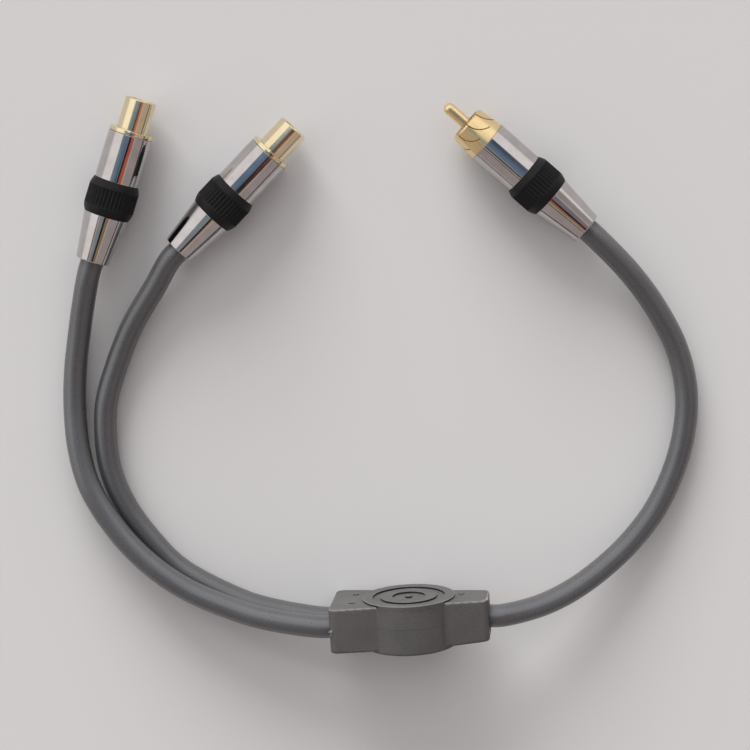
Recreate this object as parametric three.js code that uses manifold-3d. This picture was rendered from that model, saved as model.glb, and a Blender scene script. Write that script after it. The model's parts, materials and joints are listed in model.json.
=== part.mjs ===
// Y-adapter cable for phono (RCA type) audio leads, in millimetres, +Z up.
// One plug and two sockets, each on its own short coaxial cable, meet in a moulded junction box.
// The adapter lies on a table at z = 0 as it comes to rest: the connectors lie on their rubber
// grip rings, and the junction box stands on edge, rolled onto one corner of its wide end.

import * as THREE from "three";
import { mergeVertices } from "three/addons/utils/BufferGeometryUtils.js";
import Module from "manifold-3d";

const wasm = await Module();
wasm.setup();

// Fits
const seatGap = 0.05; // between flat faces that seat on each other
const passGap = 0.3; // around a round piece in its bore

// Cable
const cableDiameter = 6.2;
const coreDiameter = 2.6; // inner insulation
const wireDiameter = 1.3; // inner conductor
const jacketSides = 8;
const cableSteps = 25; // along each leg
const leadIn = 1; // straight inside a rear face or the box's end
const leadOut = 3.5; // straight outside it

// Sides of the round pieces
const shellSides = 28;
const fineSides = 36;
const boreSides = 18;
const smallSides = 16;
const wireSides = 8;

// Tail cone of every connector, from its flat rear face
const coneLength = 12.8;
const coneRearDiameter = 9.0;
const coneFrontDiameter = 12.05;
const coneEdgeRadius = 0.5;
const spigotReach = 2.2; // of the cone's spigot into the barrel

// Rubber grip ring
const gripLength = 9.4;
const gripDiameter = 13.4;
const gripFrontDiameter = 11.95;
const gripRearDiameter = 12.2;
const gripFrontShoulder = 1.9;
const gripRearShoulder = 2.1;
const gripRibCount = 40;
const grooveWidth = 0.6;
const grooveDepth = 0.35;
const grooveRim = 0.4; // plain rim at each end of the grooves

// Polished barrel
const barrelLength = 13.0;
const barrelDiameter = 11.9;
const barrelWall = 1.05;

// Split clamp round the cable's end
const clampLength = 1.6;
const clampWall = 0.5;
const clampSlit = 0.8;

// What both gold bodies have in the barrel
const stemReach = 3.2;
const cupLength = 2.0; // solder cup
const cupWall = 0.6;

// Plug
const crownLength = 7.3;
const crownFrontDiameter = 10.1;
const crownRearDiameter = 11.8;
const crownBore = 8.5;
const crownFloor = 0.4; // from the barrel's face to the step that seats the insulator
const crownEdgeRadius = 0.7;
const crownStemBore = 7.4;
const slotCount = 8;
const slotWidth = 0.33; // a slot's outline is bent round the crown's front diameter
const slotStraight = 0.3;
const slotBendRadius = 5.0;
const slotBendAngle = 72;
const slotTurn = -1; // of the first slot round the crown, in degrees
const slotOverrun = 1; // of the cutter past the crown's faces
const pinDiameter = 3.2;
const pinReach = 7.4; // beyond the crown
const pinCollarWall = 0.7;
const pinCollarLength = 0.8;
const plugInsulatorFlange = 0.9;

// Sockets
const flangeDiameter = 11.8;
const flangeThickness = 1.2;
const sleeveDiameter = 8.3;
const sleeveLength = 8.4;
const sleeveWall = 0.7;
const sleeveRimRadius = 0.33;
const sleeveStepBore = 6.0; // behind the insulator
const sleeveStepLength = 1.2;
const insulatorRecess = 0.9; // behind the mouth
const contactBore = 3.3;
const contactWall = 0.5;
const contactLength = 6.5; // of the slit tube before its collar
const pinDepth = 14.2; // of the contact's bore, from the socket's mouth
const contactFloor = 1.0; // between the bore and the solder cup
const contactCollarLength = 0.9;
const contactSlitWidth = 0.35;
const contactSlitLength = 4.0;
const contactSlitCount = 4;
const mouthHoleLength = 3.4;
const mouthHoleClearance = 0.1; // around the contact's bore

// Junction box, standing on edge: x along the leads, y through the disc, z across
const hubDiameter = 25.0;
const hubThickness = 13.6;
const hubEdgeRadius = 0.7;
const wideEndReach = 20.9; // from the hub's axis to the two cables' end
const narrowEndReach = 21.6; // from the hub's axis to the single cable's end
const wingFront = 6.0; // from the mid-plane to the wings' face on the disc's side
const wingRear = 6.1; // to their other face, beside the hub
const wideEndRear = 5.9; // and at the ends, towards which they get thinner
const narrowEndRear = 5.15;
const wideEndWidth = 22.8;
const wideRootWidth = 19.8;
const narrowRootWidth = 15.0;
const narrowEndWidth = 12.0;
const wingRoot = 9.0; // from the hub's axis, inside the hub's round
const wideCornerRadius = 2.4;
const narrowCornerRadius = 1.8;
const wingEdgeRadius = 1.1;
const outerRingInnerDiameter = 19.6;
const innerRingOuterDiameter = 15.3;
const innerRingInnerDiameter = 8.9;
const reliefDepth = 0.6;
const pipDiameter = 1.7;
const pipHeight = 0.3;
const pipRoot = 1; // of a wing's pip inside the wing
const twinPips = [[-15.15, 4.0], [-14.95, -5.1]]; // on the two-cable wing: x, z
const singlePip = [14.1, -2.3]; // on the one-cable wing
const cablePitch = 9.3; // between the two cables in the wide end
const chamberDiameter = 17.0;
const chamberHeight = 7.0;
const ferruleDiameter = 4.0;
const ferruleBore = 3.2;
const ferruleLength = 5.0;
const ferruleGrip = 1.0; // of each conductor in the ferrule
const coreEntry = 0.6; // straight part of a conductor in front of the ferrule
const coreSteps = 4; // along a bent conductor
const braidPlateThickness = 0.5;
const braidPlateLength = 11.4;
const braidPlateWideEnd = 12.0;
const braidPlateNarrowEnd = 5.0;

// How the pieces lie on the table
const plugRear = { x: 66.5, y: 38.93, heading: 139.06 };
const socketARear = { x: -65.15, y: 30.3, heading: 72.14 };
const socketBRear = { x: -42.0, y: 33.16, heading: 46.56 };
const boxPlace = { x: 19.8, y: -66.74, yaw: 2.9, roll: 5.5 };

// Free part of each leg, from its connector to the box
const plugRoute = [
  [78.9, 26.7, 5.2],
  [86.2, 16.9, 3.9],
  [92.0, 5.9, 3.25],
  [94.7, -5.3, 3.2],
  [94.4, -16.3, 3.2],
  [91.8, -27.1, 3.25],
  [87.1, -37.6, 3.7],
  [80.6, -46.3, 4.8],
  [73.0, -53.3, 6.8],
  [64.3, -59.0, 9.7],
  [55.4, -62.7, 12.6],
];
const socketARoute = [
  [-67.8, 19.7, 5.6],
  [-69.3, 11.2, 4.2],
  [-70.8, 0.1, 3.4],
  [-71.1, -10.8, 3.7],
  [-70.0, -21.5, 4.9],
  [-66.9, -31.8, 6.4],
  [-59.5, -43.4, 7.8],
  [-50.7, -52.4, 8.9],
  [-40.9, -59.0, 9.8],
  [-27.8, -64.2, 11.6],
  [-19.5, -66.3, 13.2],
];
const socketBRoute = [
  [-48.5, 23.6, 5.7],
  [-55.0, 12.8, 4.2],
  [-59.4, 2.3, 3.3],
  [-62.5, -8.1, 3.2],
  [-63.0, -16.3, 3.2],
  [-61.8, -27.2, 3.2],
  [-57.8, -37.1, 3.2],
  [-51.4, -46.3, 3.2],
  [-43.4, -54.6, 3.3],
  [-28.0, -62.8, 4.3],
  [-19.9, -65.4, 5.1],
];

// Stations along a connector, from the cone's rear face
const cableRadius = cableDiameter / 2;
const cableBore = cableRadius + passGap;
const boreRadius = barrelDiameter / 2 - barrelWall;
const spigotRadius = boreRadius - passGap;
const gripRear = coneLength + seatGap;
const gripFront = coneLength + gripLength;
const barrelRear = gripFront + seatGap;
const barrelFront = gripFront + barrelLength;
const bodySeat = barrelFront + seatGap;
const spigotTip = barrelRear + spigotReach;
const stemRear = barrelFront - stemReach;
const clampRear = spigotTip + passGap;
const clampFront = clampRear + clampLength;
const cableEnd = clampFront + passGap;
const coreRear = cableEnd + passGap;
const wireRadius = wireDiameter / 2;
const coneSlope = (coneFrontDiameter - coneRearDiameter) / 2 / coneLength;
const crownFront = barrelFront + crownLength;
const flangeFront = barrelFront + flangeThickness;
const sleeveFront = flangeFront + sleeveLength;

// Where the three cables enter the box. Each bore runs midway between the faces of its wing's end.
const wideBore = (wingFront - wideEndRear) / 2;
const narrowBore = (wingFront - narrowEndRear) / 2;
const chamberRadius = chamberDiameter / 2;
const cableEndInBox = Math.sqrt(chamberRadius ** 2 - (cablePitch / 2) ** 2);
const plugLead = { side: 1, reach: narrowEndReach, y: narrowBore, z: 0 };
const socketALead = { side: -1, reach: wideEndReach, y: wideBore, z: cablePitch / 2 };
const socketBLead = { side: -1, reach: wideEndReach, y: wideBore, z: -cablePitch / 2 };

const gold = new THREE.MeshStandardMaterial({ color: 0xc9a24e, roughness: 0.22, metalness: 1 });
const gunmetal = new THREE.MeshStandardMaterial({ color: 0x9b9690, roughness: 0.1, metalness: 1 });
const rubber = new THREE.MeshStandardMaterial({ color: 0x17171a, roughness: 0.7, metalness: 0 });
const jacket = new THREE.MeshStandardMaterial({ color: 0x4b4f55, roughness: 0.35, metalness: 0 });
const mouldedGrey = new THREE.MeshStandardMaterial({ color: 0x6d6866, roughness: 0.75, metalness: 0 });
const white = new THREE.MeshStandardMaterial({ color: 0xe4e2dc, roughness: 0.5, metalness: 0 });
const copper = new THREE.MeshStandardMaterial({ color: 0xb87549, roughness: 0.4, metalness: 1 });

// A solid of revolution about the local y axis. The profile runs up the outside.
function turned(profile, segments) {
  return new THREE.LatheGeometry(profile.getPoints(2), segments);
}

function roundBar(radius, from, to, segments) {
  const bar = new THREE.CylinderGeometry(radius, radius, to - from, segments);
  return bar.translate(0, (from + to) / 2, 0);
}

function toSolid(geometry) {
  const bare = geometry.clone();
  bare.deleteAttribute("normal");
  bare.deleteAttribute("uv");
  const merged = mergeVertices(bare, 1e-4);
  const index = merged.getIndex().array;
  const triangles = [];
  for (let i = 0; i < index.length; i += 3) {
    const [a, b, c] = [index[i], index[i + 1], index[i + 2]];
    if (a !== b && b !== c && c !== a) triangles.push(a, b, c);
  }
  return new wasm.Manifold(new wasm.Mesh({
    numProp: 3,
    vertProperties: new Float32Array(merged.getAttribute("position").array),
    triVerts: new Uint32Array(triangles),
  }));
}

function toGeometry(solid) {
  const mesh = solid.getMesh();
  const geometry = new THREE.BufferGeometry();
  geometry.setAttribute("position", new THREE.BufferAttribute(mesh.vertProperties, 3));
  geometry.setIndex(new THREE.BufferAttribute(mesh.triVerts, 1));
  geometry.computeVertexNormals();
  return geometry;
}

function piece(name, geometry, material) {
  const mesh = new THREE.Mesh(geometry, material);
  mesh.name = name;
  return mesh;
}

function tailCone() {
  const profile = new THREE.Path();
  const rear = coneRearDiameter / 2;
  profile.moveTo(cableBore, 0);
  profile.lineTo(rear - coneEdgeRadius, 0);
  profile.quadraticCurveTo(rear, 0, rear + coneSlope * coneEdgeRadius, coneEdgeRadius);
  profile.lineTo(coneFrontDiameter / 2, coneLength);
  profile.lineTo(spigotRadius, coneLength);
  profile.lineTo(spigotRadius, spigotTip);
  profile.lineTo(cableBore, spigotTip);
  profile.lineTo(cableBore, 0);
  return turned(profile, shellSides);
}

// The ribs stand between V-shaped grooves, which stop short of both shoulders.
function gripRing() {
  const outer = gripDiameter / 2;
  const bandRear = gripRear + gripRearShoulder;
  const bandFront = gripFront - gripFrontShoulder;
  const profile = new THREE.Path();
  profile.moveTo(boreRadius, gripRear);
  profile.lineTo(gripRearDiameter / 2, gripRear);
  profile.quadraticCurveTo(outer, gripRear + gripRearShoulder / 3, outer, bandRear);
  profile.lineTo(outer, bandFront);
  profile.quadraticCurveTo(outer, gripFront - gripFrontShoulder / 3, gripFrontDiameter / 2, gripFront);
  profile.lineTo(boreRadius, gripFront);
  profile.lineTo(boreRadius, gripRear);
  let ring = toSolid(turned(profile, gripRibCount));
  const grooveLength = bandFront - bandRear - 2 * grooveRim;
  const side = grooveDepth * Math.SQRT2;
  const cutter = new THREE.BoxGeometry(side, grooveLength, side);
  cutter.rotateY(Math.PI / 4);
  cutter.scale(grooveWidth / 2 / grooveDepth, 1, 1);
  cutter.translate(0, (bandFront + bandRear) / 2, outer);
  for (let i = 0; i < gripRibCount; i += 1) {
    const turn = ((i + 0.5) * 2 * Math.PI) / gripRibCount;
    ring = ring.subtract(toSolid(cutter.clone().rotateY(turn)));
  }
  return toGeometry(ring);
}

// The barrel is a tube: the cone's spigot enters it from behind and the gold body's stem from the front.
function barrel() {
  const outer = barrelDiameter / 2;
  const profile = new THREE.Path();
  profile.moveTo(boreRadius, barrelRear);
  profile.lineTo(outer, barrelRear);
  profile.lineTo(outer, barrelFront);
  profile.lineTo(boreRadius, barrelFront);
  profile.lineTo(boreRadius, barrelRear);
  return turned(profile, fineSides);
}

function cableClamp() {
  const profile = new THREE.Path();
  profile.moveTo(cableBore, clampRear);
  profile.lineTo(cableBore + clampWall, clampRear);
  profile.lineTo(cableBore + clampWall, clampFront);
  profile.lineTo(cableBore, clampFront);
  profile.lineTo(cableBore, clampRear);
  const slit = new THREE.BoxGeometry(clampSlit, 2 * clampLength, 2 * clampWall + cableBore);
  slit.translate(0, (clampRear + clampFront) / 2, cableBore);
  return toGeometry(toSolid(turned(profile, smallSides)).subtract(toSolid(slit)));
}

// The stripped end of the cable: inner insulation, then the conductor in the solder cup.
function strippedCore(cupRear) {
  const profile = new THREE.Path();
  const shoulder = cupRear - passGap;
  profile.moveTo(0, coreRear);
  profile.lineTo(coreDiameter / 2, coreRear);
  profile.lineTo(coreDiameter / 2, shoulder);
  profile.lineTo(wireRadius, shoulder);
  profile.lineTo(wireRadius, cupRear + cupLength - passGap);
  profile.lineTo(0, cupRear + cupLength - passGap);
  return turned(profile, wireSides);
}

// One slot of the crown sweeps in an arc from the front edge until it runs nearly round the crown.
// The flat outline is bent round the crown's axis, so that its walls stay radial.
function crownSlot() {
  const half = slotWidth / 2;
  const bend = THREE.MathUtils.degToRad(slotBendAngle);
  const turnPoint = crownFront - slotStraight;
  const end = new THREE.Vector2(-Math.cos(bend), -Math.sin(bend)).multiplyScalar(slotBendRadius);
  end.add(new THREE.Vector2(slotBendRadius, turnPoint));
  const outline = new THREE.Shape();
  outline.moveTo(-half, crownFront + slotOverrun);
  outline.lineTo(-half, turnPoint);
  outline.absarc(slotBendRadius, turnPoint, slotBendRadius + half, Math.PI, Math.PI + bend, false);
  outline.absarc(end.x, end.y, half, Math.PI + bend, 2 * Math.PI + bend, false);
  outline.absarc(slotBendRadius, turnPoint, slotBendRadius - half, Math.PI + bend, Math.PI, true);
  outline.lineTo(half, crownFront + slotOverrun);
  const depth = (crownRearDiameter - crownBore) / 2 + 2 * slotOverrun;
  const inner = crownBore / 2 - slotOverrun;
  const slot = new THREE.ExtrudeGeometry(outline, { depth, curveSegments: 2, bevelEnabled: false });
  const position = slot.getAttribute("position");
  for (let i = 0; i < position.count; i += 1) {
    const angle = position.getX(i) / (crownFrontDiameter / 2);
    const radius = inner + position.getZ(i);
    position.setXYZ(i, radius * Math.sin(angle), position.getY(i), radius * Math.cos(angle));
  }
  return slot;
}

// The crown's eight fingers spring onto a socket's sleeve.
function groundCrown() {
  const front = crownFrontDiameter / 2;
  const rear = crownRearDiameter / 2;
  const step = barrelFront + crownFloor;
  const profile = new THREE.Path();
  profile.moveTo(crownStemBore / 2, stemRear);
  profile.lineTo(spigotRadius, stemRear);
  profile.lineTo(spigotRadius, bodySeat);
  profile.lineTo(rear, bodySeat);
  profile.lineTo(front, crownFront - crownEdgeRadius);
  profile.quadraticCurveTo(front, crownFront, front - crownEdgeRadius, crownFront);
  profile.lineTo(crownBore / 2, crownFront);
  profile.lineTo(crownBore / 2, step);
  profile.lineTo(crownStemBore / 2, step);
  profile.lineTo(crownStemBore / 2, stemRear);
  let crown = toSolid(turned(profile, fineSides));
  const slot = crownSlot();
  for (let i = 0; i < slotCount; i += 1) {
    const turn = THREE.MathUtils.degToRad(slotTurn) + (i * 2 * Math.PI) / slotCount;
    crown = crown.subtract(toSolid(slot.clone().rotateY(turn)));
  }
  return toGeometry(crown);
}

const plugInsulatorSeat = barrelFront + crownFloor + seatGap;
const plugInsulatorFront = plugInsulatorSeat + plugInsulatorFlange;
const pinCollarFront = stemRear + seatGap;
const plugCupRear = pinCollarFront - pinCollarLength - cupLength;

function plugInsulator() {
  const hole = pinDiameter / 2 + passGap;
  const rear = pinCollarFront + seatGap;
  const profile = new THREE.Path();
  profile.moveTo(hole, rear);
  profile.lineTo(crownStemBore / 2 - passGap, rear);
  profile.lineTo(crownStemBore / 2 - passGap, plugInsulatorSeat);
  profile.lineTo(crownBore / 2 - passGap, plugInsulatorSeat);
  profile.lineTo(crownBore / 2 - passGap, plugInsulatorFront);
  profile.lineTo(hole, plugInsulatorFront);
  profile.lineTo(hole, rear);
  return turned(profile, smallSides);
}

function plugPin() {
  const radius = pinDiameter / 2;
  const tip = crownFront + pinReach;
  const cupBore = radius - cupWall;
  const profile = new THREE.Path();
  profile.moveTo(0, plugCupRear + cupLength);
  profile.lineTo(cupBore, plugCupRear + cupLength);
  profile.lineTo(cupBore, plugCupRear);
  profile.lineTo(radius, plugCupRear);
  profile.lineTo(radius, pinCollarFront - pinCollarLength);
  profile.lineTo(radius + pinCollarWall, pinCollarFront - pinCollarLength);
  profile.lineTo(radius + pinCollarWall, pinCollarFront);
  profile.lineTo(radius, pinCollarFront);
  profile.lineTo(radius, tip - radius);
  profile.absarc(0, tip - radius, radius, 0, Math.PI / 2, false);
  return turned(profile, smallSides);
}

// Flange, outer sleeve and rear stem of a socket, turned in one piece.
function socketSleeve() {
  const outer = sleeveDiameter / 2;
  const inner = outer - sleeveWall;
  const stepFront = stemRear + sleeveStepLength;
  const profile = new THREE.Path();
  profile.moveTo(sleeveStepBore / 2, stemRear);
  profile.lineTo(spigotRadius, stemRear);
  profile.lineTo(spigotRadius, bodySeat);
  profile.lineTo(flangeDiameter / 2, bodySeat);
  profile.lineTo(flangeDiameter / 2, flangeFront);
  profile.lineTo(outer, flangeFront);
  profile.lineTo(outer, sleeveFront - sleeveRimRadius);
  profile.quadraticCurveTo(outer, sleeveFront, outer - sleeveRimRadius, sleeveFront);
  profile.lineTo(inner, sleeveFront);
  profile.lineTo(inner, stepFront);
  profile.lineTo(sleeveStepBore / 2, stepFront);
  profile.lineTo(sleeveStepBore / 2, stemRear);
  return turned(profile, shellSides);
}

const socketInsulatorRear = stemRear + sleeveStepLength + seatGap;
const socketInsulatorFront = sleeveFront - insulatorRecess;
const contactCollarFront = socketInsulatorRear - seatGap;
const contactFront = contactCollarFront + contactLength;
const contactRadius = contactBore / 2 + contactWall;
const contactBoreEnd = sleeveFront - pinDepth;
const socketCupRear = contactBoreEnd - contactFloor - cupLength;

function socketInsulator() {
  const outer = sleeveDiameter / 2 - sleeveWall - passGap;
  const chamber = contactRadius + passGap;
  const mouth = contactBore / 2 + mouthHoleClearance;
  const chamberFront = socketInsulatorFront - mouthHoleLength;
  const profile = new THREE.Path();
  profile.moveTo(chamber, socketInsulatorRear);
  profile.lineTo(outer, socketInsulatorRear);
  profile.lineTo(outer, socketInsulatorFront);
  profile.lineTo(mouth, socketInsulatorFront);
  profile.lineTo(mouth, chamberFront);
  profile.lineTo(chamber, chamberFront);
  profile.lineTo(chamber, socketInsulatorRear);
  return turned(profile, smallSides);
}

// The centre contact: a slit spring tube that grips the pin, its collar and a solder cup.
function socketContact() {
  const bore = contactBore / 2;
  const collar = sleeveStepBore / 2 - passGap;
  const cupOuter = wireRadius + passGap + cupWall;
  const cupBore = cupOuter - cupWall;
  const collarRear = contactCollarFront - contactCollarLength;
  const profile = new THREE.Path();
  profile.moveTo(0, socketCupRear + cupLength);
  profile.lineTo(cupBore, socketCupRear + cupLength);
  profile.lineTo(cupBore, socketCupRear);
  profile.lineTo(cupOuter, socketCupRear);
  profile.lineTo(cupOuter, contactBoreEnd - contactFloor);
  profile.lineTo(contactRadius, contactBoreEnd - contactFloor);
  profile.lineTo(contactRadius, collarRear);
  profile.lineTo(collar, collarRear);
  profile.lineTo(collar, contactCollarFront);
  profile.lineTo(contactRadius, contactCollarFront);
  profile.lineTo(contactRadius, contactFront);
  profile.lineTo(bore, contactFront);
  profile.lineTo(bore, contactBoreEnd);
  profile.lineTo(0, contactBoreEnd);
  let contact = toSolid(turned(profile, smallSides));
  const slit = new THREE.BoxGeometry(contactSlitWidth, contactSlitLength, 2 * contactWall);
  slit.translate(0, contactFront - contactSlitLength / 2 + seatGap, bore + contactWall / 2);
  for (let i = 0; i < contactSlitCount; i += 1) {
    const turn = ((i + 0.5) * 2 * Math.PI) / contactSlitCount;
    contact = contact.subtract(toSolid(slit.clone().rotateY(turn)));
  }
  return toGeometry(contact);
}

// Plan outline of the two wings, which run into each other inside the hub.
function wingOutline() {
  const [wide, narrow] = [wideEndWidth / 2, narrowEndWidth / 2];
  const outline = new THREE.Shape();
  outline.moveTo(-wingRoot, -wideRootWidth / 2);
  outline.lineTo(wingRoot, -narrowRootWidth / 2);
  outline.lineTo(narrowEndReach - narrowCornerRadius, -narrow);
  outline.quadraticCurveTo(narrowEndReach, -narrow, narrowEndReach, narrowCornerRadius - narrow);
  outline.lineTo(narrowEndReach, narrow - narrowCornerRadius);
  outline.quadraticCurveTo(narrowEndReach, narrow, narrowEndReach - narrowCornerRadius, narrow);
  outline.lineTo(wingRoot, narrowRootWidth / 2);
  outline.lineTo(-wingRoot, wideRootWidth / 2);
  outline.lineTo(wideCornerRadius - wideEndReach, wide);
  outline.quadraticCurveTo(-wideEndReach, wide, -wideEndReach, wide - wideCornerRadius);
  outline.lineTo(-wideEndReach, wideCornerRadius - wide);
  outline.quadraticCurveTo(-wideEndReach, -wide, wideCornerRadius - wideEndReach, -wide);
  return outline;
}

// The wings are flat on the disc's side. Their other face comes in towards both ends.
function wings() {
  const geometry = new THREE.ExtrudeGeometry(wingOutline(), {
    depth: wingFront + wingRear - 2 * wingEdgeRadius,
    curveSegments: 3,
    bevelThickness: wingEdgeRadius,
    bevelSize: wingEdgeRadius,
    bevelOffset: -wingEdgeRadius,
    bevelSegments: 2,
  });
  geometry.translate(0, 0, wingEdgeRadius - wingFront);
  geometry.rotateX(Math.PI / 2);
  const position = geometry.getAttribute("position");
  for (let i = 0; i < position.count; i += 1) {
    const [x, y] = [position.getX(i), position.getY(i)];
    const [reach, endRear] = x < 0 ? [wideEndReach, wideEndRear] : [narrowEndReach, narrowEndRear];
    const share = THREE.MathUtils.clamp((Math.abs(x) - wingRoot) / (reach - wingRoot), 0, 1);
    if (y < 0) position.setY(i, (y * THREE.MathUtils.lerp(wingRear, endRear, share)) / wingRear);
  }
  return geometry;
}

// The hub has a target of two raised rings and a centre pip on the face that looks out.
function hub() {
  const face = hubThickness / 2;
  const floor = face - reliefDepth;
  const outer = hubDiameter / 2;
  const profile = new THREE.Path();
  profile.moveTo(0, -face);
  profile.lineTo(outer - hubEdgeRadius, -face);
  profile.quadraticCurveTo(outer, -face, outer, hubEdgeRadius - face);
  profile.lineTo(outer, face - hubEdgeRadius / 2);
  profile.lineTo(outer - hubEdgeRadius / 2, face);
  profile.lineTo(outerRingInnerDiameter / 2, face);
  profile.lineTo(outerRingInnerDiameter / 2, floor);
  profile.lineTo(innerRingOuterDiameter / 2, floor);
  profile.lineTo(innerRingOuterDiameter / 2, face);
  profile.lineTo(innerRingInnerDiameter / 2, face);
  profile.lineTo(innerRingInnerDiameter / 2, floor);
  profile.lineTo(pipDiameter / 2, floor);
  profile.lineTo(pipDiameter / 2, floor + pipHeight);
  profile.lineTo(0, floor + pipHeight);
  return turned(profile, fineSides);
}

function junctionBody() {
  let body = toSolid(hub()).add(toSolid(wings()));
  for (const [x, z] of [...twinPips, singlePip]) {
    const pip = roundBar(pipDiameter / 2, wingFront - pipRoot, wingFront + pipHeight, smallSides);
    body = body.add(toSolid(pip.translate(x, 0, z)));
  }
  const chamber = roundBar(chamberRadius, -chamberHeight / 2, chamberHeight / 2, shellSides);
  body = body.subtract(toSolid(chamber));
  for (const { side, reach, y, z } of [plugLead, socketALead, socketBLead]) {
    const bore = roundBar(cableBore, wingRoot / 2, reach + cableBore, boreSides);
    bore.rotateZ((-side * Math.PI) / 2).translate(0, y, z);
    body = body.subtract(toSolid(bore));
  }
  return toGeometry(body);
}

// The crimp ferrule that joins the three inner conductors, along x.
function signalSplice() {
  const profile = new THREE.Path();
  profile.moveTo(ferruleBore / 2, -ferruleLength / 2);
  profile.lineTo(ferruleDiameter / 2, -ferruleLength / 2);
  profile.lineTo(ferruleDiameter / 2, ferruleLength / 2);
  profile.lineTo(ferruleBore / 2, ferruleLength / 2);
  profile.lineTo(ferruleBore / 2, -ferruleLength / 2);
  return turned(profile, smallSides).rotateZ(-Math.PI / 2);
}

// The copper plate that joins the three braids, over the ferrule.
function shieldSplice() {
  const half = braidPlateLength / 2;
  const outline = new THREE.Shape();
  outline.moveTo(-half, -braidPlateWideEnd / 2);
  outline.lineTo(half, -braidPlateNarrowEnd / 2);
  outline.lineTo(half, braidPlateNarrowEnd / 2);
  outline.lineTo(-half, braidPlateWideEnd / 2);
  const plate = new THREE.ExtrudeGeometry(outline, { depth: braidPlateThickness, bevelEnabled: false });
  plate.rotateX(Math.PI / 2);
  return plate.translate(0, ferruleDiameter / 2 + passGap + braidPlateThickness, 0);
}

// A round bar that follows a curve through the given points.
function bar(points, radius, sides, steps) {
  const section = [];
  for (let i = 0; i < sides; i += 1) {
    const angle = (i * 2 * Math.PI) / sides;
    section.push(new THREE.Vector2(radius * Math.cos(angle), radius * Math.sin(angle)));
  }
  const extrudePath = new THREE.CatmullRomCurve3(points, false, "centripetal");
  return new THREE.ExtrudeGeometry(new THREE.Shape(section), { steps, extrudePath });
}

// A point on a connector's axis, in the table's frame.
function alongConnector(rear, station) {
  const heading = THREE.MathUtils.degToRad(rear.heading);
  const axis = new THREE.Vector3(Math.cos(heading), Math.sin(heading), 0);
  return axis.multiplyScalar(station).add(new THREE.Vector3(rear.x, rear.y, gripDiameter / 2));
}

function connector(prefix, rear, front) {
  const group = new THREE.Group();
  group.add(
    piece(`${prefix}_tail_cone`, tailCone(), gunmetal),
    piece(`${prefix}_grip_ring`, gripRing(), rubber),
    piece(`${prefix}_barrel`, barrel(), gunmetal),
    piece(`${prefix}_cable_clamp`, cableClamp(), copper),
    ...front,
  );
  group.position.copy(alongConnector(rear, 0));
  group.rotation.z = THREE.MathUtils.degToRad(rear.heading - 90);
  return group;
}

function plug() {
  return connector("plug", plugRear, [
    piece("plug_core", strippedCore(plugCupRear), white),
    piece("plug_pin", plugPin(), gold),
    piece("plug_insulator", plugInsulator(), white),
    piece("plug_ground_crown", groundCrown(), gold),
  ]);
}

function socket(prefix, rear) {
  return connector(prefix, rear, [
    piece(`${prefix}_core`, strippedCore(socketCupRear), white),
    piece(`${prefix}_contact`, socketContact(), gold),
    piece(`${prefix}_insulator`, socketInsulator(), white),
    piece(`${prefix}_sleeve`, socketSleeve(), gold),
  ]);
}

// A conductor from a cable's end at the chamber's edge to its place in the ferrule.
function junctionCore({ side, y, z }, seatZ) {
  const start = cableEndInBox - passGap;
  const mouth = ferruleLength / 2 + coreEntry;
  const end = ferruleLength / 2 - ferruleGrip;
  const points = [[start, y, z], [start - coreEntry, y, z], [mouth, 0, seatZ], [end, 0, seatZ]];
  const path = points.map(([along, up, across]) => new THREE.Vector3(side * along, up, across));
  return bar(path, wireRadius, wireSides, coreSteps);
}

// The box is lifted until its lowest corner touches the table.
function junctionBox() {
  const group = new THREE.Group();
  const coreSeat = wireRadius + passGap / 4;
  group.add(
    piece("junction_body", junctionBody(), mouldedGrey),
    piece("signal_splice", signalSplice(), copper),
    piece("shield_splice", shieldSplice(), copper),
    piece("junction_core_plug", junctionCore(plugLead, 0), copper),
    piece("junction_core_a", junctionCore(socketALead, coreSeat), copper),
    piece("junction_core_b", junctionCore(socketBLead, -coreSeat), copper),
  );
  group.position.set(boxPlace.x, boxPlace.y, 0);
  group.rotation.order = "ZYX";
  group.rotation.y = THREE.MathUtils.degToRad(-boxPlace.roll);
  group.rotation.z = THREE.MathUtils.degToRad(boxPlace.yaw);
  group.position.z = -new THREE.Box3().setFromObject(group, true).min.z;
  group.updateMatrixWorld();
  return group;
}

const box = junctionBox();

// A leg's centre line runs straight in the connector and in the box, and freely between.
function cable(name, rear, route, { side, reach, y, z }) {
  const inConnector = [cableEnd, cableEnd / 2, leadIn, -leadOut].map((s) => alongConnector(rear, s));
  const free = route.map(([px, py, height]) => new THREE.Vector3(px, py, height));
  const inBox = [reach + leadOut, reach - leadIn, (reach + cableEndInBox) / 2, cableEndInBox];
  const boxPoints = inBox.map((x) => box.localToWorld(new THREE.Vector3(side * x, y, z)));
  const points = [...inConnector, ...free, ...boxPoints];
  return piece(name, bar(points, cableRadius, jacketSides, cableSteps), jacket);
}

const adapter = new THREE.Group();
adapter.add(
  plug(),
  socket("socket_a", socketARear),
  socket("socket_b", socketBRear),
  box,
  cable("plug_cable", plugRear, plugRoute, plugLead),
  cable("socket_a_cable", socketARear, socketARoute, socketALead),
  cable("socket_b_cable", socketBRear, socketBRoute, socketBLead),
);

export default adapter;
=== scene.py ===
# %% [markdown]
# # A Y-adapter cable for phono leads
# The adapter has one plug and two sockets, each on its own short cable, and a moulded box where
# the cables join. It lies on a pale table and the camera looks down on it. The construction comes
# from a fixed frame, in metres. This script gives it finer surfaces and finishes.

# %% Load the frame
import json
import math

import bmesh
import bpy
from mathutils import Matrix, Vector, noise


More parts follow.
